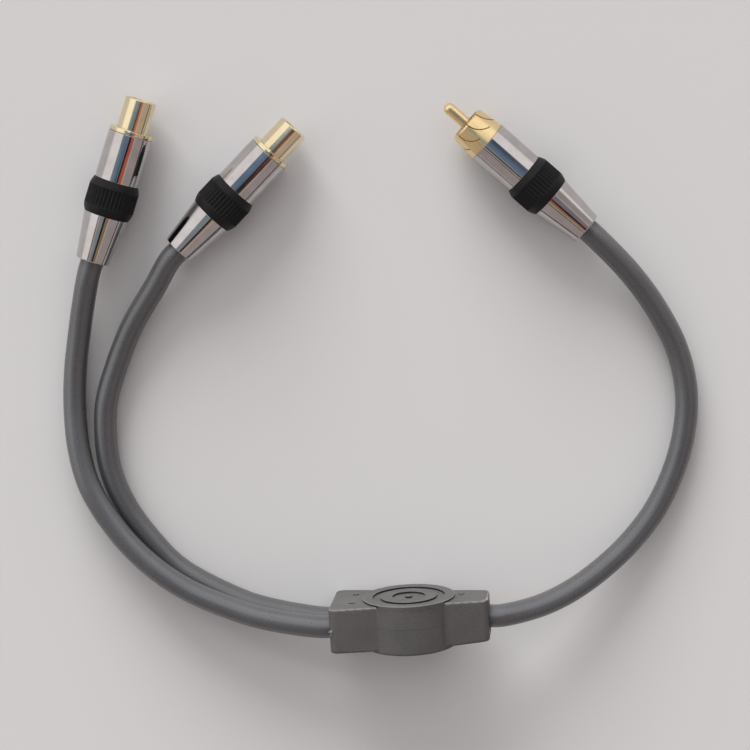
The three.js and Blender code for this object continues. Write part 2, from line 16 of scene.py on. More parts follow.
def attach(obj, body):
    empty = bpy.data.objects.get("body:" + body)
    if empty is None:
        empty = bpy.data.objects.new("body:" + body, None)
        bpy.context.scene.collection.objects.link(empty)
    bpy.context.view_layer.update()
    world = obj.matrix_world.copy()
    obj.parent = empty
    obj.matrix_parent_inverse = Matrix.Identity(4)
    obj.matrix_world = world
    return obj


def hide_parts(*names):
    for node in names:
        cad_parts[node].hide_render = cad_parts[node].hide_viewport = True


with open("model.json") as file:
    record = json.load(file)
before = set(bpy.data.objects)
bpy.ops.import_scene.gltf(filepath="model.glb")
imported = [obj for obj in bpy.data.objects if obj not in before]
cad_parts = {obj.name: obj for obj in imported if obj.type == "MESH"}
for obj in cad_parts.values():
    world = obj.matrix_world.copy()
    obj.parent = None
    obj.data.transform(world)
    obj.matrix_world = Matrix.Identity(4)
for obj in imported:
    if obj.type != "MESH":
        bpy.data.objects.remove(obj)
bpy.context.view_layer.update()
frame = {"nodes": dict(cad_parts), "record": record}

MM = 0.001
scene = bpy.context.scene
scene.view_settings.view_transform = "Standard"

# %% [markdown]
# ## Camera
# The photograph is a product shot from nearly overhead. The top of the disc on the junction box
# shows as a thin ellipse, which gives the tilt, and the box looks slightly smaller than the
# connectors, which gives the distance. A long lens from about 0.6 m repeats both.

# %% Camera
CAMERA_TARGET = Vector((10.3, -0.54, 6.7)) * MM
CAMERA_DISTANCE = 575 * MM
CAMERA_TILT = math.radians(8.7)
CAMERA_LENS = 102.5

camera_back = Vector((0, math.sin(CAMERA_TILT), math.cos(CAMERA_TILT)))
camera_up = Vector((0, math.cos(CAMERA_TILT), -math.sin(CAMERA_TILT)))
camera_data = bpy.data.cameras.new("camera")
camera_data.lens = CAMERA_LENS
camera_data.sensor_width = 36
camera_data.clip_start = 10 * MM
camera_data.clip_end = 20
camera = bpy.data.objects.new("camera", camera_data)
camera.matrix_world = Matrix.Translation(CAMERA_TARGET + camera_back * CAMERA_DISTANCE) @ Matrix(
    (Vector((1, 0, 0)), camera_up, camera_back)
).transposed().to_4x4()
scene.collection.objects.link(camera)
scene.camera = camera
print("camera at", tuple(round(v, 3) for v in camera.location))

# %% [markdown]
# ## Where each connector lies
# Each connector has its own axes: y along it towards its front, z up and x to its right. The
# frame names a flat mount on each, and that mount gives the place and the direction. Stations are
# counted along y from the flat rear face of the tail cone.

# %% Connector places
AXIS_HEIGHT = 6.7
CONE_LENGTH = 12.8
GRIP_LENGTH = 9.4
BARREL_LENGTH = 13.0
BARREL_FRONT = CONE_LENGTH + GRIP_LENGTH + BARREL_LENGTH
FLANGE_THICKNESS = 1.2
PLUG_SEAT = BARREL_FRONT + 1.35

mounts = {mount["name"]: mount for mount in frame["record"]["mounts"]}


def connector_place(mount_name, station):
    """Matrix from a connector's own millimetres to the frame's metres."""
    mount = mounts[mount_name]
    along = Vector(mount["axis"])
    seat = Vector((mount["pos_m"][0], mount["pos_m"][1], AXIS_HEIGHT * MM))
    up = Vector((0, 0, 1))
    axes = Matrix((along.cross(up), along, up)).transposed().to_4x4()
    return Matrix.Translation(seat - along * station * MM) @ axes @ Matrix.Scale(MM, 4)


places = {
    "plug": connector_place("plug_seat", PLUG_SEAT),
    "socket_a": connector_place("socket_a_flange", BARREL_FRONT + FLANGE_THICKNESS),
    "socket_b": connector_place("socket_b_flange", BARREL_FRONT + FLANGE_THICKNESS),
}
for name, place in places.items():
    print(name, "rear face at", [round(v / MM, 2) for v in place.translation])

# %% [markdown]
# The junction box stands on edge on the table. Its own x runs along the leads, y through the disc
# and z across. It is turned a little on the table, rolled onto the corner of its wide end, and
# leans forward by a hair.

# %% Junction place
BOX_CENTRE = Vector((19.8, -66.6, 13.16))
BOX_YAW = math.radians(3.3)
BOX_ROLL = math.radians(5.5)
BOX_LEAN = math.radians(0.5)
WIDE_REACH = 20.9
NARROW_REACH = 21.6

box_place = (
    Matrix.Scale(MM, 4)
    @ Matrix.Translation(BOX_CENTRE)
    @ Matrix.Rotation(BOX_YAW, 4, "Z")
    @ Matrix.Rotation(-BOX_ROLL, 4, "Y")
    @ Matrix.Rotation(-BOX_LEAN, 4, "X")
)
print("box centre", [round(v / MM, 2) for v in box_place.translation])

# %% [markdown]
# ## Materials
# Every finish is a small node tree that reads Object coordinates, so its grain has a real size in
# metres. An image of each finish would do too, but noise needs no picture and stays sharp close up.
# A noise texture drives a little variation in colour and roughness, and a finer one drives the
# bump.

# %% Material helpers


def new_material(name):
    """An empty material with a shader, and its coordinates."""
    material = bpy.data.materials.new(name)
    material.use_nodes = True
    nodes = material.node_tree.nodes
    coords = nodes.new("ShaderNodeTexCoord")
    return material, nodes, material.node_tree.links, nodes["Principled BSDF"], coords


def add_noise(nodes, links, vector, scale, detail=3.0):
    """A noise texture on the given vector. The scale counts features per metre."""
    texture = nodes.new("ShaderNodeTexNoise")
    texture.inputs["Scale"].default_value = scale
    texture.inputs["Detail"].default_value = detail
    links.new(vector, texture.inputs["Vector"])
    return texture.outputs["Fac"]


def map_range(nodes, links, value, low, high):
    """Spreads a noise value, which is seldom outside 0.3 to 0.7, between two levels."""
    spread = nodes.new("ShaderNodeMapRange")
    spread.inputs["From Min"].default_value = 0.3
    spread.inputs["From Max"].default_value = 0.7
    spread.inputs["To Min"].default_value = low
    spread.inputs["To Max"].default_value = high
    links.new(value, spread.inputs["Value"])
    return spread.outputs["Result"]


def mix_colours(nodes, links, factor, dark, light):
    """Mixes two colours by a factor."""
    mix = nodes.new("ShaderNodeMix")
    mix.data_type = "RGBA"
    mix.inputs["A"].default_value = (*dark, 1)
    mix.inputs["B"].default_value = (*light, 1)
    links.new(factor, mix.inputs["Factor"])
    return mix.outputs["Result"]


def add_bump(nodes, links, height, shader, distance):
    """Bump of a real height in metres."""
    bump = nodes.new("ShaderNodeBump")
    bump.inputs["Strength"].default_value = 1
    bump.inputs["Distance"].default_value = distance
    links.new(height, bump.inputs["Height"])
    links.new(bump.outputs["Normal"], shader.inputs["Normal"])


# %% [markdown]
# ### Metals
# The barrels and tail cones are mirror-polished pearl nickel, a little warm and darker than
# chrome. The sockets' sleeves are pale gold plate, and the plug's crown and pin have a softer,
# deeper gold. A mirror shows its surroundings, so most of their look comes from the world, and the
# material only adds faint polishing haze.

# %% Metals
METAL_CLOUD_SCALE = 260
METAL_GRAIN_SCALE = 5200


def metal(name, dark, light, roughness, haze, bump):
    """A polished metal between two tones. Haze is how much rougher it is in places."""
    material, nodes, links, shader, coords = new_material(name)
    shader.inputs["Metallic"].default_value = 1.0
    cloud = add_noise(nodes, links, coords.outputs["Object"], METAL_CLOUD_SCALE)
    spread = map_range(nodes, links, cloud, 0, 1)
    links.new(mix_colours(nodes, links, spread, dark, light), shader.inputs["Base Color"])
    rough = map_range(nodes, links, cloud, roughness, roughness + haze)
    links.new(rough, shader.inputs["Roughness"])
    grain = add_noise(nodes, links, coords.outputs["Object"], METAL_GRAIN_SCALE, 2)
    add_bump(nodes, links, grain, shader, bump)
    return material


polished_shell = metal(
    "polished_shell", (0.52, 0.50, 0.49), (0.60, 0.575, 0.57), roughness=0.045, haze=0.05,
    bump=1.5e-6,
)
gold_plate = metal(
    "gold_plate", (0.83, 0.71, 0.46), (0.90, 0.78, 0.54), roughness=0.10, haze=0.07, bump=2e-6
)
satin_gold = metal(
    "satin_gold", (0.90, 0.69, 0.36), (0.95, 0.75, 0.42), roughness=0.22, haze=0.08, bump=3e-6
)
bare_copper = metal(
    "bare_copper", (0.62, 0.34, 0.20), (0.78, 0.45, 0.28), roughness=0.30, haze=0.15, bump=4e-6
)
print("metals:", [finish.name for finish in (polished_shell, gold_plate, satin_gold, bare_copper)])

# %% [markdown]
# ### Rubber, jacket and moulding
# The grip rings are matt black rubber. The cable jacket is smooth dark grey with a pearly sheen.
# The junction box is a matt warm grey moulding with a fine spark-eroded grain. The walls of its
# relief are painted darker as painted shade, its rims are painted paler as a painted highlight,
# and the scraps of torn flash on its ends are painted pale as a painted highlight.

# %% Plastics


def plastic(
    name, dark, light, roughness, spread, cloud_scale, grain_scale, bump,
    specular=0.5, speckle=0.2, ior=1.5,
):
    """A plastic or rubber between two tones. Speckle is the grain's share in the colour."""
    material, nodes, links, shader, coords = new_material(name)
    cloud = add_noise(nodes, links, coords.outputs["Object"], cloud_scale)
    grain = add_noise(nodes, links, coords.outputs["Object"], grain_scale, 4)
    tone = nodes.new("ShaderNodeMix")
    tone.inputs["Factor"].default_value = speckle
    links.new(map_range(nodes, links, cloud, 0, 1), tone.inputs["A"])
    links.new(map_range(nodes, links, grain, 0, 1), tone.inputs["B"])
    colour = mix_colours(nodes, links, tone.outputs["Result"], dark, light)
    links.new(colour, shader.inputs["Base Color"])
    rough = map_range(nodes, links, grain, roughness, roughness + spread)
    links.new(rough, shader.inputs["Roughness"])
    shader.inputs["Specular IOR Level"].default_value = specular
    shader.inputs["IOR"].default_value = ior
    add_bump(nodes, links, grain, shader, bump)
    return material


grip_rubber = plastic(
    "grip_rubber", (0.004, 0.004, 0.0043), (0.008, 0.008, 0.0088), roughness=0.48, spread=0.14,
    cloud_scale=400, grain_scale=5000, bump=1.2e-5, specular=0.28,
)
cable_jacket = plastic(
    "cable_jacket", (0.048, 0.050, 0.054), (0.067, 0.069, 0.075), roughness=0.26, spread=0.10,
    cloud_scale=120, grain_scale=3000, bump=2.5e-5, specular=1.0, speckle=0.6, ior=1.6,
)
moulded_grey = plastic(
    "moulded_grey", (0.056, 0.053, 0.053), (0.106, 0.101, 0.101), roughness=0.52, spread=0.16,
    cloud_scale=150, grain_scale=3400, bump=1.2e-4, speckle=0.65,
)
# Painted shade: a much darker copy of the moulding for the walls of the relief, where shade falls.
recess_grey = plastic(
    "recess_grey", (0.012, 0.011, 0.011), (0.022, 0.020, 0.019), roughness=0.60, spread=0.16,
    cloud_scale=150, grain_scale=3400, bump=1.2e-4, speckle=0.65,
)
# Painted highlight: a paler copy of the moulding for the rounded front rims, where the light
# catches them.
worn_rim = plastic(
    "worn_rim", (0.115, 0.110, 0.108), (0.190, 0.183, 0.180), roughness=0.42, spread=0.16,
    cloud_scale=300, grain_scale=3400, bump=1.0e-4, speckle=0.65,
)
# Painted highlight: a pale copy of the moulding for the scraps of torn flash, where they catch the
# light.
torn_edge = plastic(
    "torn_edge", (0.12, 0.116, 0.112), (0.30, 0.29, 0.28), roughness=0.45, spread=0.20,
    cloud_scale=900, grain_scale=6000, bump=2e-4, speckle=0.5,
)
off_white = plastic(
    "off_white", (0.72, 0.70, 0.65), (0.78, 0.76, 0.71), roughness=0.32, spread=0.08,
    cloud_scale=200, grain_scale=4000, bump=4e-6,
)
greys = (moulded_grey, recess_grey, worn_rim, torn_edge)
print("plastics:", [finish.name for finish in (grip_rubber, cable_jacket, off_white, *greys)])

# %% [markdown]
# ## Cables
# All three cables can be seen from end to end, so their length is the real one, about 0.185 m from
# the stripped end in a connector to the stripped end in the box. A mesh tube could be swept, but a
# curve stays easy to lay, so a cable is a curve through chosen points. It leaves the
# connector and the box straight, sinks to the table, and where the two socket legs meet the outer
# one lies on the inner one.

# %% Cable routes
CABLE_DIAMETER = 6.2
CABLE_END = 26.65
BOX_CABLE_END = 7.1
LEAD_OUT = 3.5
LEAD_IN = 1.0

routes = {
    "plug": [
        (78.9, 26.7, 5.2), (86.2, 16.9, 3.9), (92.0, 5.9, 3.25), (94.7, -5.3, 3.2),
        (94.4, -16.3, 3.2), (91.8, -27.1, 3.25), (87.1, -37.6, 3.7), (80.6, -46.3, 4.8),
        (73.0, -53.3, 6.8), (64.3, -59.0, 9.7), (55.4, -62.7, 12.6),
    ],
    "socket_a": [
        (-67.8, 19.7, 5.6), (-69.3, 11.2, 4.2), (-70.8, 0.1, 3.4), (-71.1, -10.8, 3.7),
        (-70.0, -21.5, 4.9), (-66.9, -31.8, 6.4), (-59.5, -43.4, 7.8), (-50.7, -52.4, 8.9),
        (-40.9, -59.0, 9.8), (-27.8, -64.2, 11.6), (-19.5, -66.3, 13.2),
    ],
    "socket_b": [
        (-48.5, 23.6, 5.7), (-55.0, 12.8, 4.2), (-59.4, 2.3, 3.3), (-62.5, -8.1, 3.2),
        (-63.0, -16.3, 3.2), (-61.8, -27.2, 3.2), (-57.8, -37.1, 3.2), (-51.4, -46.3, 3.2),
        (-43.4, -54.6, 3.3), (-28.0, -62.8, 4.3), (-19.9, -65.4, 5.1),
    ],
}
box_leads = {
    "plug": (1, NARROW_REACH, 0.425, 0),
    "socket_a": (-1, WIDE_REACH, 0.05, 4.65),
    "socket_b": (-1, WIDE_REACH, 0.05, -4.65),
}


def cable_points(leg):
    """A leg's points in metres, from inside its connector to inside the box."""
    connector_stations = (CABLE_END, CABLE_END / 2, LEAD_IN, -LEAD_OUT)
    in_connector = [places[leg] @ Vector((0, station, 0)) for station in connector_stations]
    free = [Vector(point) * MM for point in routes[leg]]
    side, reach, along_y, across = box_leads[leg]
    box_stations = (reach + LEAD_OUT, reach - LEAD_IN, (reach + BOX_CABLE_END) / 2, BOX_CABLE_END)
    in_box = [box_place @ Vector((side * station, along_y, across)) for station in box_stations]
    return in_connector + free + in_box


# %% Cable curves


def tangents(points):
    """Two slopes for each point. They weigh near points more, so that close ones stay smooth."""
    ends = [points[0] * 2 - points[1], *points, points[-1] * 2 - points[-2]]
    for before, here, after in zip(ends, ends[1:], ends[2:]):
        step_in = (here - before).length ** 0.5
        step_out = (after - here).length ** 0.5
        chord = (after - before) / (step_in + step_out)
        slope = (here - before) / step_in - chord + (after - here) / step_out
        yield slope * step_in, slope * step_out


def make_cable(leg):
    """One smooth spline, as thick as the cable."""
    points = cable_points(leg)
    curve = bpy.data.curves.new(f"{leg}_jacket", "CURVE")
    curve.dimensions = "3D"
    curve.bevel_depth = CABLE_DIAMETER / 2 * MM
    curve.bevel_resolution = 10
    curve.resolution_u = 16
    curve.use_fill_caps = True
    spline = curve.splines.new("BEZIER")
    spline.bezier_points.add(len(points) - 1)
    for knot, point, (slope_in, slope_out) in zip(spline.bezier_points, points, tangents(points)):
        knot.handle_left_type = knot.handle_right_type = "FREE"
        knot.co = point
        knot.handle_left = point - slope_in / 3
        knot.handle_right = point + slope_out / 3
    cable = bpy.data.objects.new(f"{leg}_jacket", curve)
    scene.collection.objects.link(cable)
    curve.materials.append(cable_jacket)
    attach(cable, "root")
    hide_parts(f"{leg}_cable")
    length = spline.calc_length()
    print(cable.name, "is", round(length, 4), "m long through", len(points), "points")
    return cable, length


cables = {leg: make_cable(leg) for leg in routes}

# %% [markdown]
# ## Finer connectors
# The frame's round pieces have flat facets. Here each is made again with `bmesh.ops.spin`: its
# half section is drawn once as a line of points, radius against station, and spun round the
# connector's axis. Bevelled corners and weighted normals then catch the light as turned and
# moulded edges do.

# %% Turning helpers


def finish_piece(name, mesh_bmesh, place, material, replaced, sharp=35):
    """Makes an object of a bmesh that is in its own millimetres, and puts its place in its mesh."""
    bmesh.ops.remove_doubles(mesh_bmesh, verts=mesh_bmesh.verts, dist=1e-4)
    bmesh.ops.recalc_face_normals(mesh_bmesh, faces=mesh_bmesh.faces)
    bmesh.ops.transform(mesh_bmesh, matrix=place, verts=mesh_bmesh.verts)
    mesh = bpy.data.meshes.new(name)
    mesh_bmesh.to_mesh(mesh)
    mesh_bmesh.free()
    mesh.shade_smooth()
    mesh.set_sharp_from_angle(angle=math.radians(sharp))
    mesh.materials.append(material)
    piece = bpy.data.objects.new(name, mesh)
    scene.collection.objects.link(piece)
    normals = piece.modifiers.new("normals", "WEIGHTED_NORMAL")
    normals.keep_sharp = True
    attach(piece, "root")
    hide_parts(*replaced)
    return piece


def spun(profile, steps, closed=True):
    """A bmesh spun about y from a profile of (radius, station) points."""
    solid = bmesh.new()
    points = [solid.verts.new((radius, station, 0)) for radius, station in profile]
    pairs = list(zip(points, points[1:]))
    if closed:
        pairs.append((points[-1], points[0]))
    edges = [solid.edges.new(pair) for pair in pairs]
    bmesh.ops.spin(
        solid, geom=points + edges, cent=(0, 0, 0), axis=(0, 1, 0), dvec=(0, 0, 0),
        angle=math.tau, steps=steps, use_merge=True, use_normal_flip=False, use_duplicate=False,
    )
    bmesh.ops.remove_doubles(solid, verts=solid.verts, dist=1e-4)
    bmesh.ops.recalc_face_normals(solid, faces=solid.faces)
    return solid


def bevel(solid, edges, width, segments):
    """Rounds the given edges of a bmesh."""
    bmesh.ops.bevel(
        solid, geom=edges, offset=width, offset_type="OFFSET", segments=segments, profile=0.5,
        affect="EDGES", clamp_overlap=True, material=-1,
    )


CORNER_ANGLE = 25


def round_corners(solid, width, segments, beyond_radius=-1, after=-100, before=100):
    """Rounds the corners of a spun bmesh that are beyond a radius and between two stations."""
    corners = [
        edge
        for edge in solid.edges
        if len(edge.link_faces) == 2
        and math.degrees(edge.calc_face_angle(0)) > CORNER_ANGLE
        and all(v.co.xz.length > beyond_radius and after < v.co.y < before for v in edge.verts)
    ]
    bevel(solid, corners, width, segments)


# %% [markdown]
# ### Tail cone and barrel
# Both are polished shells. The cone is straight-sided with a small round at its flat rear face,
# and the cable comes out of a close hole there. Cylinders and cones from the menu would need their
# bores cut, and a spun profile has its bore already. The bores behind the visible edges are plain.

# %% Tail cones and barrels
TURN_STEPS = 128
SEAT_GAP = 0.05
CABLE_BORE = 3.4
CONE_REAR_RADIUS = 4.5
CONE_FRONT_RADIUS = 6.025
BARREL_RADIUS = 5.95
BARREL_BORE = 4.9
SPIGOT_RADIUS = 4.6
SPIGOT_TIP = CONE_LENGTH + GRIP_LENGTH + SEAT_GAP + 2.2
REAR_ROUND = 0.35
BARREL_ROUND = 0.14
FINE_ROUND = 0.1


def tail_cone(leg):
    """The tapered tail, with its spigot."""
    profile = [
        (CABLE_BORE, 0), (CONE_REAR_RADIUS, 0), (CONE_FRONT_RADIUS, CONE_LENGTH),
        (SPIGOT_RADIUS, CONE_LENGTH), (SPIGOT_RADIUS, SPIGOT_TIP), (CABLE_BORE, SPIGOT_TIP),
    ]
    solid = spun(profile, TURN_STEPS)
    round_corners(solid, REAR_ROUND, 4, beyond_radius=4, before=1)
    round_corners(solid, FINE_ROUND, 2, beyond_radius=5.9)
    return finish_piece(
        f"{leg}_polished_cone", solid, places[leg], polished_shell,
        [f"{leg}_tail_cone"],
    )


def barrel(leg):
    """The plain tube in front of the grip ring."""
    rear = CONE_LENGTH + GRIP_LENGTH + SEAT_GAP
    profile = [
        (BARREL_BORE, rear), (BARREL_RADIUS, rear),
        (BARREL_RADIUS, BARREL_FRONT), (BARREL_BORE, BARREL_FRONT),
    ]
    solid = spun(profile, TURN_STEPS)
    round_corners(solid, BARREL_ROUND, 3, beyond_radius=5.5)
    return finish_piece(
        f"{leg}_polished_barrel", solid, places[leg], polished_shell,
        [f"{leg}_barrel"],
    )


shells = [make(leg) for leg in places for make in (tail_cone, barrel)]
print(len(shells), "polished shells")

# %% [markdown]
# ### Grip ring
# The rubber ring bulges between two rounded shoulders, and its band has forty ribs. The grooves
# between them are pockets with closed ends. They could be cut by forty Booleans, but one spin with
# forty steps gives a long face for each, and an inset that also sinks these faces leaves the ribs
# standing.

# %% Grip rings
RIB_COUNT = 40
GRIP_REAR = CONE_LENGTH + SEAT_GAP
GRIP_FRONT = CONE_LENGTH + GRIP_LENGTH
GRIP_RADIUS = 6.7
BAND_REAR = GRIP_REAR + 2.1
BAND_FRONT = GRIP_FRONT - 1.9
RIB_HALF_WIDTH = 0.31
GROOVE_DEPTH = 0.33


def grip_ring(leg):
    """The bulging rubber ring with its sunk grooves."""
    profile = [
        (BARREL_BORE, GRIP_REAR), (6.0, GRIP_REAR), (6.1, GRIP_REAR + 0.12),
        (6.42, GRIP_REAR + 0.9), (6.62, BAND_REAR - 0.5), (GRIP_RADIUS, BAND_REAR),
        (GRIP_RADIUS, BAND_REAR + 0.05),
        (GRIP_RADIUS, BAND_FRONT - 0.05), (GRIP_RADIUS, BAND_FRONT), (6.61, BAND_FRONT + 0.35),
        (6.38, BAND_FRONT + 1.05), (6.06, GRIP_FRONT - 0.16), (5.96, GRIP_FRONT),
        (BARREL_BORE, GRIP_FRONT),
    ]
    solid = spun(profile, RIB_COUNT)
    band_length = BAND_FRONT - BAND_REAR
    band = [
        face
        for face in solid.faces
        if face.calc_center_median().xz.length > GRIP_RADIUS - 0.1
        and max(v.co.y for v in face.verts) - min(v.co.y for v in face.verts) > band_length / 2
    ]
    bmesh.ops.inset_individual(
        solid, faces=band, thickness=RIB_HALF_WIDTH, depth=-GROOVE_DEPTH, use_even_offset=True
    )
    return finish_piece(
        f"{leg}_ribbed_ring", solid, places[leg], grip_rubber, [f"{leg}_grip_ring"],
        sharp=60,
    )


rings = [grip_ring(leg) for leg in places]
print(len(rings), "grip rings of", RIB_COUNT, "ribs")

# %% [markdown]
# ### Plug's ground crown
# The crown is a tapered gold collar that springs onto a socket. Eight slots part it into fingers.
# Each slot starts at the front edge and curls to the side as it runs back. The slots could be
# worked into the collar's own faces, but a Boolean leaves the collar round. Each is drawn flat as a
# ribbon with `spin`, given depth, and bent round the axis, and the Boolean cuts them all.

# %% Slot cutter
CROWN_LENGTH = 7.3
CROWN_FRONT = BARREL_FRONT + CROWN_LENGTH
CROWN_FRONT_RADIUS = 5.05
CROWN_REAR_RADIUS = 5.9
CROWN_BORE = 4.25
CROWN_STEM_BORE = 3.7
CROWN_ROUND = 0.6
SLOT_COUNT = 8
SLOT_WIDTH = 0.3
SLOT_BEND_RADIUS = 5.0
SLOT_STRAIGHT = 0.3
SLOT_BEND = math.radians(72)
SLOT_TURN = math.radians(-1)
SLOT_STEPS = 14


def slot_cutter():
    """All slots as one bmesh, in the plug's own millimetres."""
    cutter = bmesh.new()
    for number in range(SLOT_COUNT):
        ribbon = bmesh.new()
        ends = [ribbon.verts.new((side * SLOT_WIDTH / 2, CROWN_FRONT + 1, 0)) for side in (-1, 1)]
        front = ribbon.edges.new(ends)
        lower = bmesh.ops.extrude_edge_only(ribbon, edges=[front])["geom"]
        corners = [v for v in lower if isinstance(v, bmesh.types.BMVert)]
        bmesh.ops.translate(ribbon, vec=(0, -1 - SLOT_STRAIGHT, 0), verts=corners)
        bend_edge = [e for e in ribbon.edges if all(v in corners for v in e.verts)]
        bend_centre = (SLOT_BEND_RADIUS, CROWN_FRONT - SLOT_STRAIGHT, 0)
        bmesh.ops.spin(
            ribbon, geom=corners + bend_edge, cent=bend_centre, axis=(0, 0, 1), dvec=(0, 0, 0),
            angle=SLOT_BEND, steps=SLOT_STEPS, use_merge=False, use_normal_flip=False,
            use_duplicate=False,
        )
        wall = bmesh.ops.extrude_face_region(ribbon, geom=ribbon.faces[:])["geom"]
        outer = [v for v in wall if isinstance(v, bmesh.types.BMVert)]
        cut_depth = CROWN_REAR_RADIUS - CROWN_BORE + 2
        bmesh.ops.translate(ribbon, vec=(0, 0, cut_depth), verts=outer)
        for vert in ribbon.verts:
            angle = vert.co.x / CROWN_FRONT_RADIUS + SLOT_TURN + number * math.tau / SLOT_COUNT
            radius = CROWN_BORE - 1 + vert.co.z
            vert.co = (radius * math.sin(angle), vert.co.y, radius * math.cos(angle))
        bmesh.ops.recalc_face_normals(ribbon, faces=ribbon.faces)
        ribbon_mesh = bpy.data.meshes.new("ribbon")
        ribbon.to_mesh(ribbon_mesh)
        ribbon.free()
        cutter.from_mesh(ribbon_mesh)
        bpy.data.meshes.remove(ribbon_mesh)
    return cutter


# %% Boolean helper


def loose_object(name, solid):
    """An object of a bmesh, with no finish, for use in a Boolean."""
    mesh = bpy.data.meshes.new(name)
    solid.to_mesh(mesh)
    solid.free()
    helper = bpy.data.objects.new(name, mesh)
    scene.collection.objects.link(helper)
    return helper


def combined(base, steps):
    """Applies Booleans, given as (operation, bmesh) pairs, to a base and gives a new bmesh."""
    body = loose_object("boolean_base", base)
    helpers = []
    for operation, solid in steps:
        helper = loose_object("boolean_helper", solid)
        helpers.append(helper)
        modifier = body.modifiers.new("boolean", "BOOLEAN")
        modifier.operation = operation
        modifier.solver = "EXACT"
        modifier.object = helper
    evaluated = body.evaluated_get(bpy.context.evaluated_depsgraph_get())
    result = bmesh.new()
    result.from_mesh(evaluated.to_mesh())
    evaluated.to_mesh_clear()
    for helper in [body, *helpers]:
        mesh = helper.data
        bpy.data.objects.remove(helper)
        bpy.data.meshes.remove(mesh)
    return result


# %% Crown
STEM_LENGTH = 3.2
CROWN_FLOOR_DEPTH = 0.4

stem_rear = BARREL_FRONT - STEM_LENGTH
body_seat = BARREL_FRONT + SEAT_GAP
crown_step = BARREL_FRONT + CROWN_FLOOR_DEPTH
crown_profile = [
    (CROWN_STEM_BORE, stem_rear), (SPIGOT_RADIUS, stem_rear), (SPIGOT_RADIUS, body_seat),
    (CROWN_REAR_RADIUS, body_seat), (CROWN_FRONT_RADIUS, CROWN_FRONT), (CROWN_BORE, CROWN_FRONT),
    (CROWN_BORE, crown_step), (CROWN_STEM_BORE, crown_step),
]
crown_solid = spun(crown_profile, TURN_STEPS)
round_corners(crown_solid, CROWN_ROUND, 5, beyond_radius=4.6, after=CROWN_FRONT - 0.1)
crown_solid = combined(crown_solid, [("DIFFERENCE", slot_cutter())])
crown = finish_piece(
    "plug_slotted_crown", crown_solid, places["plug"], satin_gold,
    ["plug_ground_crown"],
)
print("crown has", len(crown.data.polygons), "faces and", SLOT_COUNT, "slots")

# %% [markdown]
# ### Pin, insulators and sockets
# The plug's pin is a solid rod with a domed tip. Each socket is one turned gold piece, a sleeve
# with a flange, and inside it sits a pale insulator with a hole for the pin. All of them are round,
# so they are spun as well: a cylinder with added parts would need more steps and show its joints.

# %% Pin and plug insulator
SMALL_STEPS = 64
PIN_RADIUS = 1.6
PIN_COLLAR_RADIUS = 2.3
PIN_COLLAR_LENGTH = 0.8
PIN_CUP_LENGTH = 2.8
PIN_REACH = 7.4
PIN_TIP = CROWN_FRONT + PIN_REACH
DOME_STEPS = 8
PLUG_HOLE_RADIUS = 1.9
PLUG_INSULATOR_RADIUS = 3.4
PLUG_LIP_RADIUS = 3.95
PLUG_LIP_REAR = PLUG_SEAT - 0.9

dome = [
    (PIN_RADIUS * math.cos(a), PIN_TIP - PIN_RADIUS + PIN_RADIUS * math.sin(a))
    for a in (i * math.pi / 2 / DOME_STEPS for i in range(DOME_STEPS))
]
pin_rear = stem_rear + SEAT_GAP
pin_profile = [
    (0, pin_rear - PIN_CUP_LENGTH), (PIN_RADIUS, pin_rear - PIN_CUP_LENGTH),
    (PIN_RADIUS, pin_rear - PIN_COLLAR_LENGTH), (PIN_COLLAR_RADIUS, pin_rear - PIN_COLLAR_LENGTH),
    (PIN_COLLAR_RADIUS, pin_rear), (PIN_RADIUS, pin_rear), *dome, (0, PIN_TIP),
]
pin_solid = spun(pin_profile, SMALL_STEPS, closed=False)
pin = finish_piece(
    "plug_gold_pin", pin_solid, places["plug"], satin_gold, ["plug_pin"]
)
insulator_rear = pin_rear + SEAT_GAP
insulator_profile = [
    (PLUG_HOLE_RADIUS, insulator_rear), (PLUG_INSULATOR_RADIUS, insulator_rear),
    (PLUG_INSULATOR_RADIUS, PLUG_LIP_REAR), (PLUG_LIP_RADIUS, PLUG_LIP_REAR),
    (PLUG_LIP_RADIUS, PLUG_SEAT), (PLUG_HOLE_RADIUS, PLUG_SEAT),
]
insulator_solid = spun(insulator_profile, SMALL_STEPS)
plug_insulator = finish_piece(
    "plug_pale_insulator", insulator_solid, places["plug"], off_white,
    ["plug_insulator"],
)
print("pin reaches", PIN_REACH, "mm beyond the crown")

# %% Sockets
FLANGE_RADIUS = 5.9
SLEEVE_RADIUS = 4.15
SLEEVE_BORE = 3.45
SLEEVE_STEM_BORE = 3.0
SLEEVE_LENGTH = 8.4
FLANGE_FRONT = BARREL_FRONT + FLANGE_THICKNESS
SLEEVE_FRONT = FLANGE_FRONT + SLEEVE_LENGTH
SLEEVE_FLOOR = stem_rear + 1.2
SOCKET_INSULATOR_RADIUS = 3.15
SOCKET_INSULATOR_REAR = stem_rear + 1.25
SOCKET_INSULATOR_FRONT = SLEEVE_FRONT - 0.9
MOUTH_ROUND = 0.32
FLANGE_ROUND = 0.12
INSULATOR_ROUND = 0.15
CONTACT_RADIUS = 2.45
CONTACT_FRONT = SOCKET_INSULATOR_FRONT - 3.4
MOUTH_RADIUS = 1.75


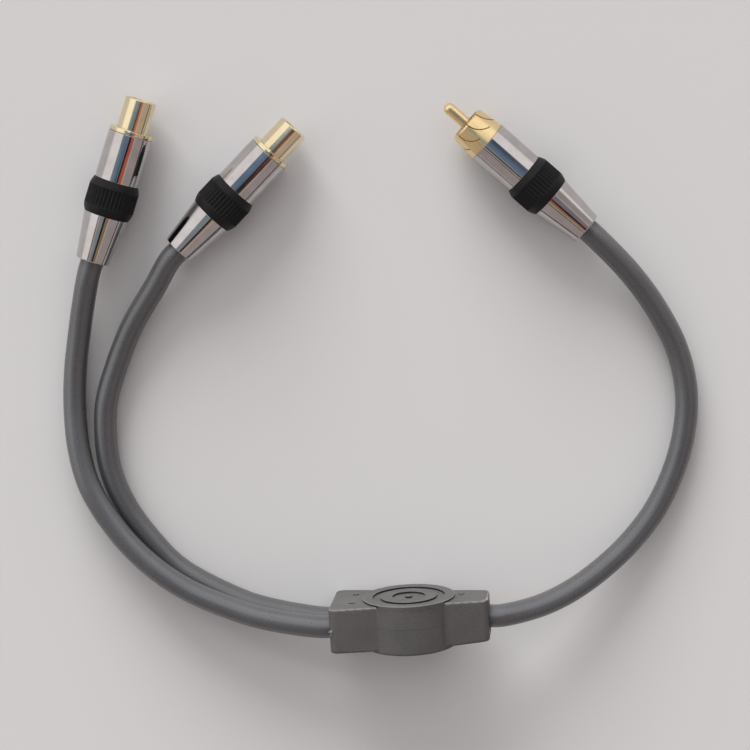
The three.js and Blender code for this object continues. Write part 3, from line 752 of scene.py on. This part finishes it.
def socket_sleeve(leg):
    """The gold sleeve with its flange, and its stem in the barrel."""
    profile = [
        (SLEEVE_STEM_BORE, stem_rear), (SPIGOT_RADIUS, stem_rear), (SPIGOT_RADIUS, body_seat),
        (FLANGE_RADIUS, body_seat), (FLANGE_RADIUS, FLANGE_FRONT), (SLEEVE_RADIUS, FLANGE_FRONT),
        (SLEEVE_RADIUS, SLEEVE_FRONT), (SLEEVE_BORE, SLEEVE_FRONT), (SLEEVE_BORE, SLEEVE_FLOOR),
        (SLEEVE_STEM_BORE, SLEEVE_FLOOR),
    ]
    solid = spun(profile, TURN_STEPS)
    round_corners(solid, MOUTH_ROUND, 4, after=SLEEVE_FRONT - 0.1)
    round_corners(solid, FLANGE_ROUND, 3, beyond_radius=5.5)
    return finish_piece(
        f"{leg}_gold_sleeve", solid, places[leg], gold_plate, [f"{leg}_sleeve"]
    )


def socket_insulator(leg):
    """The pale plug in the sleeve, with the mouth for a pin and the room for the contact."""
    profile = [
        (CONTACT_RADIUS, SOCKET_INSULATOR_REAR), (SOCKET_INSULATOR_RADIUS, SOCKET_INSULATOR_REAR),
        (SOCKET_INSULATOR_RADIUS, SOCKET_INSULATOR_FRONT), (MOUTH_RADIUS, SOCKET_INSULATOR_FRONT),
        (MOUTH_RADIUS, CONTACT_FRONT), (CONTACT_RADIUS, CONTACT_FRONT),
    ]
    solid = spun(profile, SMALL_STEPS)
    round_corners(solid, INSULATOR_ROUND, 2, after=SOCKET_INSULATOR_FRONT - 0.1)
    return finish_piece(
        f"{leg}_pale_insulator", solid, places[leg], off_white, [f"{leg}_insulator"]
    )


socket_pieces = {
    leg: [socket_sleeve(leg), socket_insulator(leg)] for leg in ("socket_a", "socket_b")
}
print("socket mouths at", round(SLEEVE_FRONT, 1), "mm")

# %% [markdown]
# ## Junction box
# The box is moulded over the joint in one shot: a thick round hub, a wide wing where two cables
# enter and a narrow one for the third. The hub and the wings are closed solids here, which a
# Boolean joins. A bevel often fails where such a joint is slanted, so a voxel remesh with some
# smoothing rounds the inner corners a little, as a mould does.

# %% Hub
HUB_RADIUS = 12.42
DISC_RADIUS = 12.5
HUB_FACE = 6.8
RIM_ROUND = 0.4
WING_FRONT = 6.15


def hub():
    """The round middle of the box, up to just under its front disc."""
    front = WING_FRONT + 0.2
    profile = [(0, -HUB_FACE), (HUB_RADIUS, -HUB_FACE), (HUB_RADIUS, front), (0, front)]
    solid = spun(profile, TURN_STEPS, closed=False)
    round_corners(solid, RIM_ROUND, 4, beyond_radius=12)
    return solid


# %% Wings
WING_ROOT = 9.0
WING_REAR = 6.1
END_REAR = {-1: 5.9, 1: 5.15}
WIDE_CORNER = 2.2
NARROW_CORNER = 1.6
WING_OUTLINE = [
    (-WIDE_REACH, -11.4), (-WING_ROOT, -9.9), (WING_ROOT, -7.5), (NARROW_REACH, -6.0),
    (NARROW_REACH, 6.0), (WING_ROOT, 7.5), (-WING_ROOT, 9.9), (-WIDE_REACH, 11.4),
]


def wing_rear(x):
    """How far the wings' rear face is from the mid-plane at a distance along the box."""
    reach, end = (WIDE_REACH, END_REAR[-1]) if x < 0 else (NARROW_REACH, END_REAR[1])
    share = max(0, (abs(x) - WING_ROOT) / (reach - WING_ROOT))
    return WING_REAR + (end - WING_REAR) * share


def wings():
    """The plan outline, extruded through the thickness, with round corners and edges."""
    solid = bmesh.new()
    corners = [solid.verts.new((x, -1, z)) for x, z in WING_OUTLINE]
    outline = solid.faces.new(corners)
    top = bmesh.ops.extrude_face_region(solid, geom=[outline])["geom"]
    top_corners = [v for v in top if isinstance(v, bmesh.types.BMVert)]
    bmesh.ops.translate(solid, vec=(0, 2, 0), verts=top_corners)
    bmesh.ops.recalc_face_normals(solid, faces=solid.faces)
    for least_x, greatest_x, radius in ((-30, -15, WIDE_CORNER), (15, 30, NARROW_CORNER)):
        at_end = [
            edge for edge in solid.edges
            if all(least_x < v.co.x < greatest_x for v in edge.verts)
            and edge.verts[0].co.y != edge.verts[1].co.y
        ]
        bevel(solid, at_end, radius, 6)
    for vert in solid.verts:
        vert.co.y = WING_FRONT if vert.co.y > 0 else -wing_rear(vert.co.x)
    rims = [edge for edge in solid.edges if edge.verts[0].co.y * edge.verts[1].co.y > 0]
    rims = [edge for edge in rims if edge.calc_face_angle(0) > math.radians(60)]
    bevel(solid, rims, RIM_ROUND, 3)
    return solid


# %% Soft body
VOXEL = 0.28
SMOOTH_ROUNDS = 2


def softened(solid):
    """Remeshes a bmesh into even small faces and smooths it."""
    rough = loose_object("rough", solid)
    remesh = rough.modifiers.new("remesh", "REMESH")
    remesh.mode = "VOXEL"
    remesh.voxel_size = VOXEL
    smooth = rough.modifiers.new("smooth", "SMOOTH")
    smooth.factor = 0.5
    smooth.iterations = SMOOTH_ROUNDS
    evaluated = rough.evaluated_get(bpy.context.evaluated_depsgraph_get())
    soft = bmesh.new()
    soft.from_mesh(evaluated.to_mesh())
    evaluated.to_mesh_clear()
    mesh = rough.data
    bpy.data.objects.remove(rough)
    bpy.data.meshes.remove(mesh)
    return soft


box_soft = softened(combined(wings(), [("UNION", hub())]))
print("soft box has", len(box_soft.faces), "faces")

# %% [markdown]
# The disc, its target and the pips are added and cut after the remesh, so that their edges stay
# crisp. The disc's side grows out of the hub and stands proud of the wings. Each groove is a spun
# cutter whose mouth flares a little, which leaves a tiny chamfer. A faint line round the hub is the
# mould's parting line.

# %% Disc, relief, pips and cable holes
RELIEF_DEPTH = 0.6
CHAMFER = 0.08
PIP_RADIUS = 0.85
PIP_HEIGHT = 0.3
PIP_STEPS = 32
BORE_DEPTH = 3.0
BORE_RADIUS = 3.2
BORE_FLARE = 0.35
PARTING_Y = 0.3
PARTING_WIDTH = 0.1
PARTING_DEPTH = 0.07
PIPS = [(-15.15, 4.0), (-14.95, -5.1), (14.1, -2.3)]
TARGET_GROOVE = (7.65, 9.8)
CENTRE_GROOVE = (PIP_RADIUS + CHAMFER, 4.45)


def disc():
    """The disc on the front of the hub, whose side tapers into the hub's."""
    root = WING_FRONT - 1.75
    profile = [
        (0, root), (DISC_RADIUS - 0.2, root), (DISC_RADIUS, WING_FRONT - 0.15),
        (DISC_RADIUS, HUB_FACE - 2 * CHAMFER), (DISC_RADIUS - 2 * CHAMFER, HUB_FACE), (0, HUB_FACE),
    ]
    return spun(profile, TURN_STEPS, closed=False)


def ring_cutter(inner, outer):
    """A ring that cuts a groove into the disc's face."""
    bottom, above = HUB_FACE - RELIEF_DEPTH, HUB_FACE + 1
    profile = [
        (inner, bottom), (outer, bottom), (outer, HUB_FACE - CHAMFER), (outer + CHAMFER, HUB_FACE),
        (outer + CHAMFER, above), (inner - CHAMFER, above), (inner - CHAMFER, HUB_FACE),
        (inner, HUB_FACE - CHAMFER),
    ]
    return spun(profile, TURN_STEPS)


def parting_cutter():
    """A thin ring round the hub that cuts the parting line."""
    profile = [
        (HUB_RADIUS - PARTING_DEPTH, PARTING_Y), (HUB_RADIUS + 0.1, PARTING_Y - PARTING_WIDTH),
        (HUB_RADIUS + 0.1, PARTING_Y + PARTING_WIDTH),
    ]
    return spun(profile, TURN_STEPS)


def raised_pip(x, z):
    """A low round stud on a wing's front face."""
    tip = WING_FRONT + PIP_HEIGHT
    profile = [
        (0, WING_FRONT - 1), (PIP_RADIUS, WING_FRONT - 1), (PIP_RADIUS, tip - CHAMFER),
        (PIP_RADIUS - CHAMFER, tip), (0, tip),
    ]
    stud = spun(profile, PIP_STEPS, closed=False)
    bmesh.ops.translate(stud, vec=(x, 0, z), verts=stud.verts)
    return stud


def cable_hole(side, reach, along_y, across):
    """A close hole for a cable, along the box's x."""
    profile = [
        (0, reach - BORE_DEPTH), (BORE_RADIUS, reach - BORE_DEPTH),
        (BORE_RADIUS, reach - BORE_FLARE), (BORE_RADIUS + BORE_FLARE, reach),
        (BORE_RADIUS + BORE_FLARE, reach + 1), (0, reach + 1),
    ]
    hole = spun(profile, SMALL_STEPS, closed=False)
    turn = Matrix.Rotation(-side * math.pi / 2, 4, "Z")
    place = Matrix.Translation((0, along_y, across)) @ turn
    bmesh.ops.transform(hole, matrix=place, verts=hole.verts)
    return hole


relief = [
    ("UNION", disc()), ("DIFFERENCE", ring_cutter(*TARGET_GROOVE)),
    ("DIFFERENCE", ring_cutter(*CENTRE_GROOVE)), ("DIFFERENCE", parting_cutter()),
]
pips = [("UNION", raised_pip(x, z)) for x, z in PIPS]
holes = [("DIFFERENCE", cable_hole(*lead)) for lead in box_leads.values()]
box_solid = combined(box_soft, relief + pips + holes)
print("box cut and joined has", len(box_solid.faces), "faces")

# %% [markdown]
# The upright walls of the relief get the darker copy of the moulding, which is painted shade, and
# the rims the paler one, which is a painted highlight. Each face is sorted by the way it points
# and by its place, which needs no mask painted by hand.

# %% Painted shade on walls and painted highlight on rims
WALL_NORMAL = 0.6
RIM_NORMALS = (0.35, 0.93)
RIM_DEPTH = 0.8


def is_recess_wall(face):
    """Whether a face of the box is a side of a groove in the disc or of a pip on a wing."""
    centre = face.calc_center_median()
    if abs(face.normal.y) > WALL_NORMAL or centre.y < WING_FRONT - 0.02:
        return False
    over_a_wing = centre.x < -WING_ROOT + 1.4 or centre.x > WING_ROOT + 1
    return centre.xz.length < DISC_RADIUS - 1 or over_a_wing


def is_rim(face):
    """Whether a face is on the rounded front rim of a wing or of the disc."""
    at_front = face.calc_center_median().y > WING_FRONT - RIM_DEPTH
    return at_front and RIM_NORMALS[0] < face.normal.y < RIM_NORMALS[1]


walls = [face for face in box_solid.faces if is_recess_wall(face)]
rims = [face for face in box_solid.faces if is_rim(face)]
# Slot 1 takes the painted shade on the walls, slot 2 the painted highlight on the rims.
for number, faces in ((1, walls), (2, rims)):
    for face in faces:
        face.material_index = number
junction = finish_piece(
    "junction_moulding", box_solid, box_place, moulded_grey, ["junction_body"],
    sharp=32,
)
# The painted shade and the painted highlight finishes go into slots 1 and 2.
for grey in (recess_grey, worn_rim):
    junction.data.materials.append(grey)
print("junction box has", len(junction.data.polygons), "faces")

# %% [markdown]
# Flash was torn off at both ends: a nub stands on the corner of the wide end, and thin ragged
# burrs run along two edges of the narrow end. They could be sculpted, but a script needs the same
# result each time, so each is a small sphere pulled along its edge and made ragged with noise.

# %% Torn flash
RAGGEDNESS = 0.35
RAGGED_SCALE = 2.3
BURRS = [
    ((-20.15, 0.1, 10.75), (0.42, 0.5, 0.4)), ((-20.75, -0.1, 10.1), (0.3, 0.34, 0.4)),
    ((-20.3, -0.85, 10.7), (0.3, 0.24, 0.3)), ((21.35, -3.2, 4.2), (0.3, 1.3, 0.6)),
    ((21.3, 6.0, 3.6), (0.4, 0.22, 1.6)), ((20.7, 5.95, 5.2), (0.8, 0.25, 0.4)),
]


def burr(centre, size):
    """One ragged scrap of flash, in the box's own millimetres."""
    scrap = bmesh.new()
    bmesh.ops.create_icosphere(scrap, subdivisions=4, radius=1)
    for vert in scrap.verts:
        ragged = 1 + RAGGEDNESS * noise.noise(vert.co * RAGGED_SCALE + Vector(centre))
        vert.co = Vector(centre) + Vector(a * b for a, b in zip(vert.co * ragged, size))
    return scrap


flash = bmesh.new()
for burr_centre, burr_size in BURRS:
    scrap_mesh = bpy.data.meshes.new("scrap")
    scrap = burr(burr_centre, burr_size)
    scrap.to_mesh(scrap_mesh)
    scrap.free()
    flash.from_mesh(scrap_mesh)
    bpy.data.meshes.remove(scrap_mesh)
# The scraps are shaped as real flash, and they are painted pale as a painted highlight.
torn_flash = finish_piece("junction_torn_flash", flash, box_place, torn_edge, [])
print("torn flash has", len(torn_flash.data.polygons), "faces")

# %% [markdown]
# ## Inner pieces of the frame
# The pieces that stay hidden in the connectors and the box could be spun finely too, but nothing
# of them shows. They keep the frame's own meshes, with copper, gold or pale plastic on them.

# %% Dress the frame's own nodes
for node_name, node in frame["nodes"].items():
    if node_name.endswith("_contact"):
        dressed = gold_plate
    elif node_name.endswith("_core") and not node_name.startswith("junction"):
        dressed = off_white
    else:
        dressed = bare_copper
    for material_slot in node.material_slots:
        material_slot.material = dressed
print("dressed", len(frame["nodes"]), "frame nodes")

# %% [markdown]
# ## Cable facts
# Each cable is gathered with the pieces of the connector at its far end, and their count is
# printed.

for leg, (cable, length) in cables.items():
    on_cable = [piece for piece in shells + rings if piece.name.startswith(leg)]
    if leg == "plug":
        on_cable += [crown, pin, plug_insulator]
    else:
        on_cable += socket_pieces[leg]
    print(leg, "cable declared with", len(on_cable), "pieces")

# %% [markdown]
# ## Table and light
# The table is a plain pale floor. The light is a soft overcast studio: the world is pale near the
# horizon and brighter towards +Y, with a dim opening overhead where the camera is. A studio could
# be built of panels and lamps, but the polished shells show every edge of it, so its colours are
# painted on the world by angle, which is easy to place.

# %% Table
FLOOR_SIZE = 30.0
FLOOR_GREY = (0.66, 0.66, 0.66, 1)

floor_bmesh = bmesh.new()
bmesh.ops.create_grid(floor_bmesh, x_segments=2, y_segments=2, size=FLOOR_SIZE / 2)
floor_mesh = bpy.data.meshes.new("table")
floor_bmesh.to_mesh(floor_mesh)
floor_bmesh.free()
floor = bpy.data.objects.new("table", floor_mesh)
scene.collection.objects.link(floor)
floor_material, _, _, floor_shader, _ = new_material("table_paint")
floor_shader.inputs["Base Color"].default_value = FLOOR_GREY
floor_shader.inputs["Roughness"].default_value = 0.8
floor_mesh.materials.append(floor_material)
print("table of", FLOOR_SIZE, "m")

# %% World nodes
world = bpy.data.worlds.new("studio")
scene.world = world
world.use_nodes = True
sky = world.node_tree.nodes
sky_links = world.node_tree.links
sky_background = sky["Background"]
sky_coords = sky.new("ShaderNodeTexCoord")
sky_axes = sky.new("ShaderNodeSeparateXYZ")
sky_links.new(sky_coords.outputs["Generated"], sky_axes.inputs["Vector"])


def sky_math(operation, first, second=None):
    """One Math node of the world, with linked or plain inputs."""
    node = sky.new("ShaderNodeMath")
    node.operation = operation
    for socket, value in zip(node.inputs, (first, second)):
        if value is None:
            continue
        if isinstance(value, (int, float)):
            socket.default_value = value
        else:
            sky_links.new(value, socket)
    return node.outputs[0]


def sky_ramp(value, low, high, stops):
    """A colour ramp over an angle in degrees."""
    ramp = sky.new("ShaderNodeValToRGB")
    elements = ramp.color_ramp.elements
    while len(elements) < len(stops):
        elements.new(0.5)
    for element, (angle, colour) in zip(elements, stops):
        element.position = (angle - low) / (high - low)
        element.color = (*colour, 1)
    spread = sky.new("ShaderNodeMapRange")
    spread.inputs["From Min"].default_value = math.radians(low)
    spread.inputs["From Max"].default_value = math.radians(high)
    sky_links.new(value, spread.inputs["Value"])
    sky_links.new(spread.outputs["Result"], ramp.inputs["Fac"])
    return ramp.outputs["Color"]


def sky_mix(factor, first, second):
    """Mixes two world colours, each linked or plain."""
    mix = sky.new("ShaderNodeMix")
    mix.data_type = "RGBA"
    sky_links.new(factor, mix.inputs["Factor"])
    for letter, colour in (("A", first), ("B", second)):
        if isinstance(colour, tuple):
            mix.inputs[letter].default_value = (*colour, 1)
        else:
            sky_links.new(colour, mix.inputs[letter])
    return mix.outputs["Result"]


# %% [markdown]
# A direction is given by two leans from straight up, one along the plug and one across it, in
# degrees. A barrel that is seen from above shows one line of directions, so each barrel and cone
# picks its own stripes from the bands below: blue, black, red and bronze, as in a room with
# coloured things in it. Outside the opening, the front is bright and the back is a warm grey.

# %% Directions and colours
sky_x, sky_y, sky_z = sky_axes.outputs
zenith_angle = sky_math("ARCCOSINE", sky_z)


def sky_lean(azimuth):
    """How far a direction leans from straight up towards an azimuth, as an angle."""
    east = sky_math("MULTIPLY", sky_x, math.cos(math.radians(azimuth)))
    north = sky_math("MULTIPLY", sky_y, math.sin(math.radians(azimuth)))
    return sky_math("ARCTAN2", sky_math("ADD", east, north), sky_z)


PLUG_AZIMUTH = 139
FRONT_AZIMUTH = 115

along_plug = sky_lean(PLUG_AZIMUTH)
across_plug = sky_lean(PLUG_AZIMUTH - 90)

NAVY = (0.10, 0.13, 0.20)
BLUE_GREY = (0.18, 0.27, 0.38)
MIST = (0.32, 0.37, 0.40)
DARK = (0.02, 0.02, 0.022)
DEEP_RED = (0.30, 0.06, 0.04)
WARM_RED = (0.62, 0.15, 0.08)
BRONZE = (0.36, 0.25, 0.14)
CREAM = (0.72, 0.58, 0.48)
WARM_GREY = (0.46, 0.40, 0.39)
PALE = (0.62, 0.60, 0.59)
BRIGHT = (1.16, 1.12, 1.11)
WHITE = (1, 1, 1)
BLACK = (0, 0, 0)
print("leans towards azimuths", PLUG_AZIMUTH, "and", PLUG_AZIMUTH - 90)

# %% Bands of colour
LEAN_LIMIT = 40


def bands_along(*stops):
    """Colours by the lean along the plug."""
    return sky_ramp(along_plug, -LEAN_LIMIT, LEAN_LIMIT, stops)


def bands_across(*stops):
    """Colours by the lean across the plug."""
    return sky_ramp(across_plug, -LEAN_LIMIT, LEAN_LIMIT, stops)


def bands_outward(*stops):
    """Colours by the angle from straight up."""
    return sky_ramp(zenith_angle, 0, 100, stops)


# %% Overhead stripes
blues = bands_across((-16, MIST), (-10, BLUE_GREY), (-2, BLUE_GREY), (16, NAVY))
stripes_left = bands_along(
    (-31, WARM_GREY), (-28, DARK), (-24, BRONZE), (-17, BRONZE), (-15, DARK)
)
stripes_socket_b = bands_along(
    (-24, WARM_GREY), (-22.5, DARK), (-20, DARK), (-18.5, WARM_RED), (-14.5, WARM_RED), (-13, DARK)
)
stripes_socket_a = bands_along(
    (-33, WARM_GREY), (-31, DEEP_RED), (-27, WARM_RED), (-17, WARM_RED), (-14, DARK)
)
stripes_right = bands_along(
    (-34, WARM_GREY), (-32, WARM_RED), (-24, WARM_RED), (-22.5, BLUE_GREY)
)
stripes = sky_mix(bands_across((-11, BLACK), (-9.5, WHITE)), stripes_left, stripes_socket_b)
stripes = sky_mix(bands_across((0.2, BLACK), (1.4, WHITE)), stripes, stripes_socket_a)
stripes = sky_mix(bands_across((4.5, BLACK), (6, WHITE)), stripes, stripes_right)
overhead = sky_mix(bands_along((-7, WHITE), (-6, BLACK)), blues, stripes)
print("overhead stripes use", len(sky), "nodes so far")

# %% Dark lines and the crown's glow
socket_line = sky_mix(
    bands_across((-7.4, BLACK), (-7, WHITE), (-5.4, WHITE), (-5, BLACK)), overhead, DARK
)
beside_sockets = bands_along(
    (-8, WHITE), (-6, WHITE), (-5.6, BLACK), (-3.5, BLACK), (-3.1, WHITE), (1, WHITE), (2, BLACK)
)
overhead = sky_mix(beside_sockets, overhead, socket_line)
plug_line = sky_mix(
    bands_across((-27.5, BLACK), (-26.5, WHITE), (-22.5, WHITE), (-21.5, BLACK)), overhead, DARK
)
beside_plug = bands_along((-7, BLACK), (-6.5, WHITE), (-2.5, WHITE), (-2, BLACK))
overhead = sky_mix(beside_plug, overhead, plug_line)
crown_glow = sky_mix(bands_across((-3, BLACK), (1, WHITE)), overhead, BRIGHT)
overhead = sky_mix(bands_along((3, BLACK), (7, WHITE)), overhead, crown_glow)
print("with the dark lines and the glow,", len(sky), "nodes")

# %% Surround
OPENING_ANGLE = 30
WORLD_STRENGTH = 0.9

back_west = bands_outward(
    (33, CREAM), (34.5, DARK), (36.5, DARK), (38, WARM_GREY), (76, WARM_GREY), (90, PALE)
)
back_east = bands_outward(
    (31, CREAM), (38, WARM_GREY), (77, WARM_GREY), (79, DARK), (83, DARK), (85, PALE)
)
east_share = sky_ramp(sky_lean(0), -90, 90, [(-2, BLACK), (2, WHITE)])
back_side = sky_mix(east_share, back_west, back_east)
front_side = bands_outward((34, BRIGHT), (72, BRIGHT), (88, PALE))
front_share = sky_ramp(sky_lean(FRONT_AZIMUTH), -90, 90, [(6, BLACK), (10, WHITE)])
surround = sky_mix(front_share, back_side, front_side)
past_opening = bands_outward((OPENING_ANGLE - 1, BLACK), (OPENING_ANGLE + 1, WHITE))
sky_links.new(sky_mix(past_opening, overhead, surround), sky_background.inputs["Color"])
sky_background.inputs["Strength"].default_value = WORLD_STRENGTH
print("world has", len(sky), "nodes")

# %% [markdown]
# One broad, low lamp from +Y shapes the shadows and lights the disc's side of the box. A small lamp
# near the object would leave a hot spot on the table, so it is a sun lamp with a wide disc, which
# lights everything alike. It is left out of the reflections, where the world's own bright side
# takes its place.

# %% Lamp
LAMP_DIRECTION = Vector((-0.25, 0.94, 0.19))
LAMP_ANGLE = math.radians(40)
LAMP_STRENGTH = 5.2

lamp_data = bpy.data.lights.new("soft_lamp", "SUN")
lamp_data.angle = LAMP_ANGLE
lamp_data.energy = LAMP_STRENGTH
lamp = bpy.data.objects.new("soft_lamp", lamp_data)
lamp.location = LAMP_DIRECTION
lamp.rotation_mode = "QUATERNION"
lamp.rotation_quaternion = (-LAMP_DIRECTION).to_track_quat("-Z", "Y")
lamp.visible_glossy = False
scene.collection.objects.link(lamp)
print("lamp from", tuple(round(v, 2) for v in LAMP_DIRECTION))
